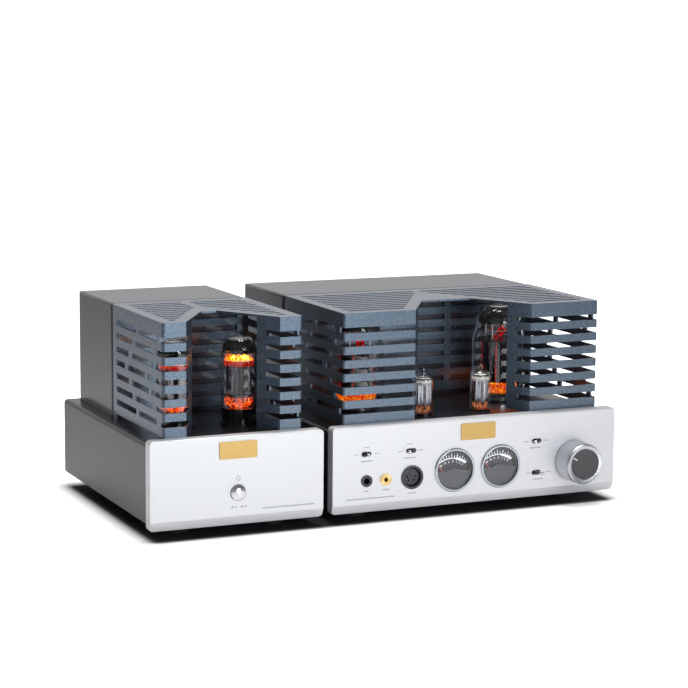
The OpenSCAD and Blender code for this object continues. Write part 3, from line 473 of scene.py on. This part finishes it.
def dress_frame():
    """Gives each CAD node its material, and rounds the edges of those that show."""
    for node, material in cad_looks().items():
        mesh = NODES[node].data
        mesh.materials.clear()
        mesh.materials.append(material)
    for node, width in EDGES.items():
        part = NODES[node]
        weld = part.modifiers.new("weld", "WELD")
        weld.merge_threshold = 1e-6
        bevel = part.modifiers.new("bevel", "BEVEL")
        bevel.width, bevel.segments = width * MM, 2
        slope = 12 if node.endswith("front_panel") else 40
        bevel.limit_method, bevel.angle_limit = "ANGLE", math.radians(slope)
        bevel.harden_normals = False
        normals = part.modifiers.new("normals", "WEIGHTED_NORMAL")
        normals.keep_sharp = False


# ---------------------------------------------------------------- shapes

def place(name, bm, look, body, slot, at=(0, 0, 0), sharp=35):
    """Turns a bmesh into a piece that rides on a body, with its origin at a point."""
    bmesh.ops.remove_doubles(bm, verts=bm.verts, dist=1e-7)
    bmesh.ops.recalc_face_normals(bm, faces=bm.faces)
    mesh = bpy.data.meshes.new(name)
    bm.to_mesh(mesh)
    bm.free()
    for p in mesh.polygons:
        p.use_smooth = True
    mesh.set_sharp_from_angle(angle=math.radians(sharp))
    mesh.materials.append(look.material)
    piece = bpy.data.objects.new(name, mesh)
    piece.location = at
    bpy.context.scene.collection.objects.link(piece)
    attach(piece, body)
    return piece


def lathe(bm, outline, steps=48, centre=(0, 0)):
    """Turns a closed outline of (radius, height) points round an upright axis."""
    rings = []
    for i in range(steps):
        c, s = math.cos(TAU * i / steps), math.sin(TAU * i / steps)
        rings.append([bm.verts.new((centre[0] + r * c, centre[1] + r * s, z)) for r, z in outline])
    for here, there in zip(rings, rings[1:] + rings[:1]):
        for j in range(len(outline)):
            k = (j + 1) % len(outline)
            if outline[j][0] > 0 or outline[k][0] > 0:
                corners = [here[j], here[k], there[k], there[j]]
                bm.faces.new(corners)


def disc(bm, radius, z0, z1, centre=(0, 0), steps=40):
    lathe(bm, [(0, z0), (radius, z0), (radius, z1), (0, z1)], steps, centre)


def dome_film(bm, radius, top, corner, drop, thick):
    """A film that follows a rounded dome: flat at the top, round at the shoulder, then down."""
    outer = [(0, top)]
    for i in range(9):
        a = math.pi / 2 * i / 8
        outer.append((radius - corner + corner * math.sin(a), top - corner + corner * math.cos(a)))
    outer.append((radius, top - corner - drop))
    inner = [(max(r - thick, 0), z - thick) for r, z in reversed(outer[1:])]
    inner[0] = (radius - thick, top - corner - drop)
    lathe(bm, outer + inner + [(0, top - thick)], 56)


def tube(bm, points, radius, sides=6):
    """A round wire along a run of points, closed at both ends."""
    points = [Vector(p) for p in points]
    side, rings = None, []
    for i, p in enumerate(points):
        along = (points[min(i + 1, len(points) - 1)] - points[max(i - 1, 0)]).normalized()
        side = along.orthogonal() if side is None else side - along * side.dot(along)
        side.normalize()
        up = along.cross(side)
        rings.append([bm.verts.new(p + radius * (side * math.cos(TAU * k / sides)
                                                 + up * math.sin(TAU * k / sides)))
                      for k in range(sides)])
    for a, b in zip(rings, rings[1:]):
        for k in range(sides):
            bm.faces.new((a[k], a[(k + 1) % sides], b[(k + 1) % sides], b[k]))
    bm.faces.new(rings[0])
    bm.faces.new(list(reversed(rings[-1])))


def block(bm, low, high):
    """A box between two corners."""
    size = [(b - a) for a, b in zip(low, high)]
    middle = Vector([(a + b) / 2 for a, b in zip(low, high)])
    made = bmesh.ops.create_cube(bm, size=1)["verts"]
    bmesh.ops.scale(bm, vec=size, verts=made)
    bmesh.ops.translate(bm, vec=middle, verts=made)
    return made


def arc_band(bm, centre, inner, outer, start, end, y0, y1, steps=32):
    """A flat ring sector that faces the front; angles run clockwise from straight up."""
    rows = []
    for i in range(steps + 1):
        a = math.radians(start + (end - start) * i / steps)
        rows.append([bm.verts.new((centre[0] + r * math.sin(a), y, centre[1] + r * math.cos(a)))
                     for r, y in ((inner, y0), (outer, y0), (outer, y1), (inner, y1))])
    for a, b in zip(rows, rows[1:]):
        for k in range(4):
            bm.faces.new((a[k], a[(k + 1) % 4], b[(k + 1) % 4], b[k]))
    if end - start < 360:
        bm.faces.new(rows[0])
        bm.faces.new(list(reversed(rows[-1])))


def radial_bar(bm, centre, inner, outer, angle, width, y0, y1):
    """A bar along a radius on a face to the front; the angle is clockwise from straight up."""
    made = block(bm, (-width / 2, y0, inner), (width / 2, y1, outer))
    turn = Matrix.Rotation(math.radians(angle), 4, "Y")
    bmesh.ops.transform(bm, matrix=Matrix.Translation((centre[0], 0, centre[1])) @ turn, verts=made)


def stand_on_circle(bm, made, radius, angle, turn):
    """Moves what stands on the axis out to a circle round it, turned about its own upright axis."""
    out = Matrix.Translation((radius * math.cos(angle), radius * math.sin(angle), 0))
    bmesh.ops.transform(bm, matrix=out @ Matrix.Rotation(turn, 4, "Z"), verts=made)


def pair_of(node):
    """Radius, bottom, top and the two axes of a pair of round upright parts in one node."""
    low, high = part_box(node)
    radius = (high[1] - low[1]) / 2
    middle = (low[1] + high[1]) / 2
    return radius, low[2], high[2], [(low[0] + radius, middle), (high[0] - radius, middle)]


# ---------------------------------------------------------------- valves

GLASS_WALL = 1.1 * MM


def beads(bm, rng, count, reach, low, high, radius):
    """Small glints: welds and wire ends scattered round a valve's stem."""
    for _ in range(count):
        a, r = rng.uniform(0, TAU), reach * math.sqrt(rng.uniform(0.15, 1))
        spot = Matrix.Translation((r * math.cos(a), r * math.sin(a), rng.uniform(low, high)))
        bmesh.ops.create_icosphere(bm, subdivisions=1, radius=radius * rng.uniform(0.5, 1), matrix=spot)


def hairpin(x, z, high, gap):
    """A heater's end: up, over and down again."""
    arch = [(x + gap * math.cos(a), 0, z + high + gap * math.sin(a))
            for a in (math.pi * i / 6 for i in range(7))]
    return [(x + gap, 0, z)] + arch + [(x - gap, 0, z)]


def lead_wires(bm, rng, count, inner, outer, low, high, radius):
    """Wires from the stem's press up to the mica, each bent its own way."""
    for i in range(count):
        a = TAU * (i + 0.5 * rng.random()) / count
        b = a + rng.uniform(-0.5, 0.5)
        bend = rng.uniform(0.35, 0.7)
        mid = low + (high - low) * bend
        r = inner + (outer - inner) * rng.uniform(0.5, 1.0)
        tube(bm, [(inner * math.cos(a), inner * math.sin(a), low),
                  (inner * 1.1 * math.cos(a), inner * 1.1 * math.sin(a), low + 0.3 * (mid - low)),
                  (r * math.cos(b), r * math.sin(b), mid), (r * math.cos(b), r * math.sin(b), high)],
             radius, 6)


def add_psu_valves():
    """Rectifier-style valves: silvered dome, glowing cathode ends, and a painted glow on the mica, its
    tabs, a band under it and the wires over the base.
    """
    radius, bottom, top, axes = pair_of("psu_valve_glass")
    inner = radius - GLASS_WALL
    top_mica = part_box("psu_valve_anodes")[1][2]
    anode_low = top_mica - 36.4 * MM
    rng = random.Random(7)
    film = getter("psu_getter", (0.95, 0.92, 0.85), (0.004, 0.004, 0.005), 130,
                  (0.006, 0.006, 0.007), 0.55)
    core = Look("psu_cathode_end", (1, 0.8, 0.4), 0.4,
                Emission_Color=(1.0, 0.62, 0.16, 1), Emission_Strength=8)
    # The heater hairpins glow as hot metal; the rings round the cathode ends are a painted glow haze.
    halo = patchy_glow("psu_cathode_haze", 3.4, 420, ((0.25, ORANGE), (0.4, ORANGE), (0.55, YELLOW)))
    band = painted_glow_fade("psu_painted_glow_band", 0.9, (top_mica - bottom - 7.5 * MM, top_mica - bottom - 0.8 * MM))
    plate = lit_mica("psu_top_mica", 2.2, 0.018)
    # Painted glow: the mica tabs stand lit by the cathode ends.
    fins = patchy_glow("psu_lit_fins", 1.6, 330,
                 ((0.32, RED), (0.42, ORANGE), (0.52, ORANGE), (0.64, YELLOW)))
    # Painted glints: the lead wires and beads glow where they catch the cathodes' light.
    wires = patchy_glow("psu_lead_wires", 2.0, 520,
                  ((0.4, (0.02, 0, 0)), (0.5, RED), (0.6, ORANGE), (0.7, YELLOW)))
    for side, (x, y) in zip(("left", "right"), axes):
        at = (x, y, bottom)
        z = top_mica - bottom
        bm = bmesh.new()
        dome_film(bm, inner - 0.2 * MM, top - bottom - 1.4 * MM, 11.8 * MM, 3.0 * MM, 0.25 * MM)
        place("psu_%s_getter" % side, bm, film, ROOT, "valve_anode", at)
        bm = bmesh.new()
        disc(bm, 14.8 * MM, z + 0.05 * MM, z + 0.55 * MM)
        place("psu_%s_mica" % side, bm, plate, ROOT, "valve_anode", at)
        bm = bmesh.new()
        for cx in (-5.8 * MM, 5.8 * MM):
            disc(bm, 1.5 * MM, z + 0.5 * MM, z + 3.2 * MM, (cx, 0), 20)
        place("psu_%s_cathode_ends" % side, bm, core, ROOT, "valve_anode", at)
        bm = bmesh.new()
        for cx in (-5.8 * MM, 5.8 * MM):
            tube(bm, hairpin(cx, z + 3.0 * MM, 1.2 * MM, 0.9 * MM), 0.35 * MM)
            lathe(bm, [(2.4 * MM, z + 0.5 * MM), (4.8 * MM, z + 0.5 * MM),
                       (4.6 * MM, z + 3.4 * MM), (4.3 * MM, z + 3.4 * MM)], 28, (cx, 0))
        place("psu_%s_heaters" % side, bm, halo, ROOT, "valve_anode", at)
        bm = bmesh.new()
        for i in range(14):
            a = TAU * i / 14 + rng.uniform(-0.1, 0.1)
            high = rng.choice((2.4, 3.4, 4.8)) * MM + (4.5 * MM if i == 8 else 0)
            r = 12.9 * MM
            made = block(bm, (-1.3 * MM, -0.15 * MM, z + 0.5 * MM), (1.3 * MM, 0.15 * MM, z + high))
            stand_on_circle(bm, made, r, a, a + 1.4)
        place("psu_%s_mica_tabs" % side, bm, fins, ROOT, "valve_anode", at)
        bm = bmesh.new()
        r = 14.9 * MM
        low, high = z - 7.5 * MM, z - 0.8 * MM
        lathe(bm, [(r, low), (r + 0.15 * MM, low), (r + 0.15 * MM, high), (r, high)])
        place("psu_%s_painted_glow_band" % side, bm, band, ROOT, "valve_anode", at)
        bm = bmesh.new()
        low = GLASS_WALL
        lead_wires(bm, rng, 17, 4.0 * MM, 14.0 * MM, low, anode_low - bottom - 0.3 * MM, 0.3 * MM)
        lead_wires(bm, rng, 13, 8.0 * MM, 15.0 * MM, low, anode_low - bottom - 2 * MM, 0.25 * MM)
        beads(bm, rng, 46, 14.5 * MM, low + 1.5 * MM, anode_low - bottom - 1 * MM, 0.55 * MM)
        place("psu_%s_lead_wires" % side, bm, wires, ROOT, "valve_anode", at)


def add_output_valves():
    """Beam valves: ribbed silver dome, supports over the anode with a painted red glow, and a glowing
    skirt at the foot that is a painted glow.
    """
    _, bottom, top, axes = pair_of("output_valve_glass")
    top_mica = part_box("output_valve_anodes")[1][2]
    neck = 24 * MM - GLASS_WALL
    rng = random.Random(11)
    film = getter("output_getter", (0.95, 0.93, 0.9), (0.004, 0.004, 0.005), 85, (0.03, 0.03, 0.03), 0.5)
    plate = plastic("output_mica", (0.75, 0.74, 0.72), 0.12, 600, 0.02, Coat_Weight=1.0)
    # Painted glow: the supports and grid rods stand lit red by the cathode.
    lit = patchy_glow("output_lit_supports", 0.9, 200,
                ((0.42, (0.01, 0, 0)), (0.55, (0.5, 0.0, 0.0)), (0.72, RED)))
    # Painted glow: the skirt is a glowing ring at the foot, with no lamp in it.
    skirt = patchy_glow("output_glow_skirt", 0.95, 230,
                  ((0.38, (0.25, 0.0, 0.0)), (0.47, RED), (0.55, ORANGE), (0.66, YELLOW)), (1, 1, 2.6))
    # Painted glints: the lead wires glow orange.
    wires = patchy_glow("output_lead_wires", 1.6, 300, ((0.35, RED), (0.5, ORANGE), (0.66, YELLOW)))
    rods = turned_metal("output_rods", (0.6, 0.6, 0.63), 0.2, "Z")
    for side, (x, y) in zip(("left", "right"), axes):
        at = (x, y, bottom)
        z = top_mica - bottom
        inside_top = top - bottom - GLASS_WALL - 0.4 * MM
        bm = bmesh.new()
        dome_film(bm, neck - 0.3 * MM, inside_top, 17 * MM, 0.5 * MM, 0.25 * MM)
        place("output_%s_getter" % side, bm, film, ROOT, "valve_anode", at)
        bm = bmesh.new()
        disc(bm, 21.5 * MM, z + 20 * MM, z + 20.5 * MM)
        disc(bm, 13 * MM, z + 9 * MM, z + 9.4 * MM)
        place("output_%s_micas" % side, bm, plate, ROOT, "valve_anode", at)
        bm = bmesh.new()
        for i in range(4):
            a = TAU * (i + 0.4) / 4
            px, py = 15 * MM * math.cos(a), 15 * MM * math.sin(a)
            tube(bm, [(px, py, z), (px, py, z + 20 * MM)], 0.9 * MM, 10)
        place("output_%s_rods" % side, bm, rods, ROOT, "valve_anode", at)
        bm = bmesh.new()
        for i in range(7):
            a = TAU * i / 7 + rng.uniform(-0.2, 0.2)
            r, low = rng.uniform(7, 12) * MM, z + rng.choice((1, 6, 10)) * MM
            high = low + rng.uniform(3, 8) * MM
            made = block(bm, (-3.2 * MM, -0.2 * MM, low), (3.2 * MM, 0.2 * MM, high))
            stand_on_circle(bm, made, r, a, a + 1.57)
        place("output_%s_supports" % side, bm, lit, ROOT, "valve_anode", at)
        bm = bmesh.new()
        outline = [(18.6, 2.0), (20.2, 3.4), (20.8, 7.0), (19.6, 11.5),
                   (19.2, 11.5), (20.2, 7.0), (19.7, 3.6), (18.4, 2.5)]
        lathe(bm, [(r * MM, h * MM) for r, h in outline], 56)
        place("output_%s_glow_skirt" % side, bm, skirt, ROOT, "valve_anode", at)
        bm = bmesh.new()
        lead_wires(bm, rng, 10, 6 * MM, 17 * MM, GLASS_WALL, 12.8 * MM, 0.5 * MM)
        place("output_%s_lead_wires" % side, bm, wires, ROOT, "valve_anode", at)
        bm = bmesh.new()
        for a in (0.9, 2.4, 4.1, 5.6):
            px, py = 17.8 * MM * math.cos(a), 17.8 * MM * math.sin(a)
            tube(bm, [(px, py, 13 * MM), (px, py, z - 1.5 * MM)], 0.55 * MM, 8)
        place("output_%s_grid_rods" % side, bm, lit, ROOT, "valve_anode", at)


def add_signal_valves():
    """Small double triodes: silver getter, bright anodes, copper wires at the foot with painted glints.
    """
    radius, bottom, _, axes = pair_of("signal_valve_glass")
    pins_below = 6 * MM
    bottom += pins_below
    top_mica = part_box("signal_valve_anodes")[1][2]
    rng = random.Random(5)
    film = getter("signal_getter", (0.9, 0.88, 0.82), (0.03, 0.028, 0.025), 120, (0.1, 0.09, 0.08), 0.15)
    # Painted glints: the copper lead wires and beads glow faintly.
    wires = patchy_glow("signal_lead_wires", 0.5, 620, ((0.42, (0.05, 0.01, 0)), (0.55, (0.9, 0.12, 0.01)),
                                                  (0.7, (1.0, 0.5, 0.15))))
    wires.shader.inputs["Metallic"].default_value = 0.9
    wires.shader.inputs["Base Color"].default_value = (0.75, 0.4, 0.2, 1)
    plate = plastic("signal_mica", (0.75, 0.74, 0.72), 0.15, 600, 0.02)
    stripe = Look("signal_rib", (0.55, 0.57, 0.62), 0.15, 1.0)
    stripe.bump(stripe.noise(600), 0.1, 0.05)
    for side, (x, y) in zip(("left", "right"), axes):
        at = (x, y, bottom)
        z = top_mica - bottom
        bm = bmesh.new()
        dome_film(bm, radius - 1.25 * MM, 39.4 * MM, 6.6 * MM, 1.2 * MM, 0.2 * MM)
        place("signal_%s_getter" % side, bm, film, ROOT, "valve_anode", at)
        bm = bmesh.new()
        disc(bm, 9.1 * MM, z + 0.05 * MM, z + 0.35 * MM)
        place("signal_%s_mica" % side, bm, plate, ROOT, "valve_anode", at)
        bm = bmesh.new()
        for cx in (-4.6 * MM, 4.6 * MM):
            for gap in (-2.2 * MM, 2.2 * MM):
                block(bm, (cx + gap - 0.3 * MM, -4.5 * MM, 12 * MM),
                      (cx + gap + 0.3 * MM, 4.5 * MM, 31.5 * MM))
        place("signal_%s_ribs" % side, bm, stripe, ROOT, "valve_anode", at)
        bm = bmesh.new()
        lead_wires(bm, rng, 12, 3 * MM, 8.2 * MM, 2.4 * MM, 9.6 * MM, 0.22 * MM)
        lead_wires(bm, rng, 9, 5 * MM, 8.6 * MM, 2.4 * MM, 8.0 * MM, 0.2 * MM)
        beads(bm, rng, 24, 8.4 * MM, 3 * MM, 9.4 * MM, 0.45 * MM)
        place("signal_%s_lead_wires" % side, bm, wires, ROOT, "valve_anode", at)


# ---------------------------------------------------------------- meters, knob and panel marks

def add_meter_scales():
    """White scales on the dial plates: a thin arc, a thick one past zero, ticks and numbers."""
    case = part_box("meter_lenses")
    radius = (case[1][2] - case[0][2]) / 2
    centre_z = (case[0][2] + case[1][2]) / 2
    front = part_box("meter_cases")[0][1] + 4 * MM
    pivot_z = centre_z - 15 * MM
    # The white print carries a faint painted glow.
    white = plastic("scale_print", (0.9, 0.9, 0.9), 0.5,
                    Emission_Color=(1, 1, 1, 1), Emission_Strength=0.25)
    y0, y1 = front - 0.15 * MM, front + 0.1 * MM
    for side, x in (("left", case[0][0] + radius), ("right", case[1][0] - radius)):
        bm = bmesh.new()
        centre = (x, pivot_z)
        arc_band(bm, centre, 25.2 * MM, 26.0 * MM, -38, 10, y0, y1)
        arc_band(bm, centre, 24.4 * MM, 26.8 * MM, 10, 38, y0, y1)
        for i in range(13):
            angle = -38 + 76 * i / 12
            length = (4.4 if i % 2 == 0 else 3.0) * MM
            radial_bar(bm, centre, 25.8 * MM, 26 * MM + length, angle, 0.65 * MM, y0, y1)
        place("%s_meter_scale" % side, bm, white, ROOT, "dial_face")
        marks = (("20", -33), ("10", -21), ("5", -9), ("0", 3), ("1", 14), ("2", 23), ("3", 32))
        for text, angle in marks:
            add_number("%s_meter_%s" % (side, text), text, x, pivot_z, 22.2 * MM, angle, y0, white)


def add_number(name, text, x, pivot_z, radius, angle, y, look):
    """A number that stands upright on an arc on the dial."""
    curve = bpy.data.curves.new(name, "FONT")
    curve.body, curve.size, curve.extrude = text, 3.0 * MM, 0.06 * MM
    curve.align_x, curve.align_y = "CENTER", "CENTER"
    curve.resolution_u = 3
    number = bpy.data.objects.new(name, curve)
    a = math.radians(angle)
    number.location = (x + radius * math.sin(a), y, pivot_z + radius * math.cos(a))
    number.rotation_euler = (math.pi / 2, a * 0.6, 0)
    bpy.context.scene.collection.objects.link(number)
    curve.materials.append(look.material)
    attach(number, ROOT)


def bars(bm, x, z, count, face, high=1.1):
    """A row of short bars that stands where a printed legend would be, centred on a point."""
    pitch, wide = 1.55, 0.95
    for i in range(count):
        middle = x + (i - (count - 1) / 2) * pitch * MM
        block(bm, (middle - wide / 2 * MM, face - 0.06 * MM, z - high / 2 * MM),
              (middle + wide / 2 * MM, face + 0.04 * MM, z + high / 2 * MM))


def add_panel_marks():
    """Plain bars, dots, signs and a power ring where the real panels carry printed legends."""
    ink = plastic("panel_ink", (0.2, 0.2, 0.21), 0.6, 1500, 0.05)
    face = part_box("amp_front_panel")[0][1]
    bm = bmesh.new()
    for node in ("phones_lever", "impedance_lever", "source_lever", "meter_lever"):
        low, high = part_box(node)
        x, z = (low[0] + high[0]) / 2, (low[2] + high[2]) / 2
        bars(bm, x - 11 * MM, z, 3, face, 0.8)
        bars(bm, x + 12 * MM, z, 4, face, 0.8)
        bars(bm, x, z - 7 * MM, 8, face)
        if node in ("phones_lever", "impedance_lever"):
            bars(bm, x, z + 7 * MM, 4, face, 0.8)
    for node, count in (("stereo_jack", 3), ("balanced_jack", 5), ("four_pin_socket", 6)):
        low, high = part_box(node)
        bars(bm, (low[0] + high[0]) / 2, low[2] - 4.2 * MM, count, face)
    low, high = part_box("volume_knob")
    x, z, reach = (low[0] + high[0]) / 2, (low[2] + high[2]) / 2, (high[2] - low[2]) / 2
    bars(bm, x - 0.72 * reach - 5 * MM, z - 0.9 * reach, 2, face, 0.7)
    bars(bm, x + 0.72 * reach + 5 * MM, z - 0.9 * reach, 2, face, 0.7)
    block(bm, (x + 0.72 * reach + 4.65 * MM, face - 0.06 * MM, z - 0.9 * reach - 1.6 * MM),
          (x + 0.72 * reach + 5.35 * MM, face + 0.04 * MM, z - 0.9 * reach + 1.6 * MM))
    bars(bm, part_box("amp_front_panel")[0][0] + 41 * MM, 24.5 * MM, 34, face)
    place("amp_panel_marks", bm, ink, ROOT, "panel_metal")
    bm = bmesh.new()
    low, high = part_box("psu_button")
    x, z, reach = (low[0] + high[0]) / 2, (low[2] + high[2]) / 2, (high[2] - low[2]) / 2
    y0, y1 = face - 0.06 * MM, face + 0.04 * MM
    arc_band(bm, (x, z + reach + 6.5 * MM), 1.8 * MM, 2.3 * MM, 40, 320, y0, y1)
    radial_bar(bm, (x, z + reach + 6.5 * MM), 0.6 * MM, 2.9 * MM, 0, 0.5 * MM, y0, y1)
    for side in (-5 * MM, 5 * MM):
        bars(bm, x + side + 2.4 * MM, z - reach - 6 * MM, 2, face, 1.0)
        corners = [bm.verts.new((x + side + dx * MM, y, z - reach - 6 * MM + dz * MM))
                   for y in (y0, y1) for dx, dz in ((-2.6, -0.8), (0, -0.8), (-1.3, 1.2))]
        bm.faces.new(corners[:3])
        bm.faces.new(corners[:2:-1])
        for i in range(3):
            k = (i + 1) % 3
            bm.faces.new((corners[i], corners[k], corners[k + 3], corners[i + 3]))
    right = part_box("psu_front_panel")[1][0]
    bars(bm, right - 37 * MM, 24.5 * MM, 36, face)
    place("psu_panel_marks", bm, ink, ROOT, "panel_metal")


def add_knob_details():
    """A white pointer on the knob's disc."""
    low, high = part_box("volume_knob_cap")
    x, z, reach = (low[0] + high[0]) / 2, (low[2] + high[2]) / 2, (high[2] - low[2]) / 2
    bm = bmesh.new()
    face = low[1] - 0.02 * MM
    radial_bar(bm, (x, z), reach - 5.6 * MM, reach - 0.4 * MM, -62, 1.1 * MM, face, face + 0.12 * MM)
    white = plastic("pointer_white", (0.95, 0.95, 0.95), 0.4)
    place("knob_pointer", bm, white, "volume_control", "knob_cap")


# ---------------------------------------------------------------- the scene

add_camera()
add_studio()
add_floor()
dress_frame()
add_psu_valves()
add_output_valves()
add_signal_valves()
add_meter_scales()
add_panel_marks()
add_knob_details()
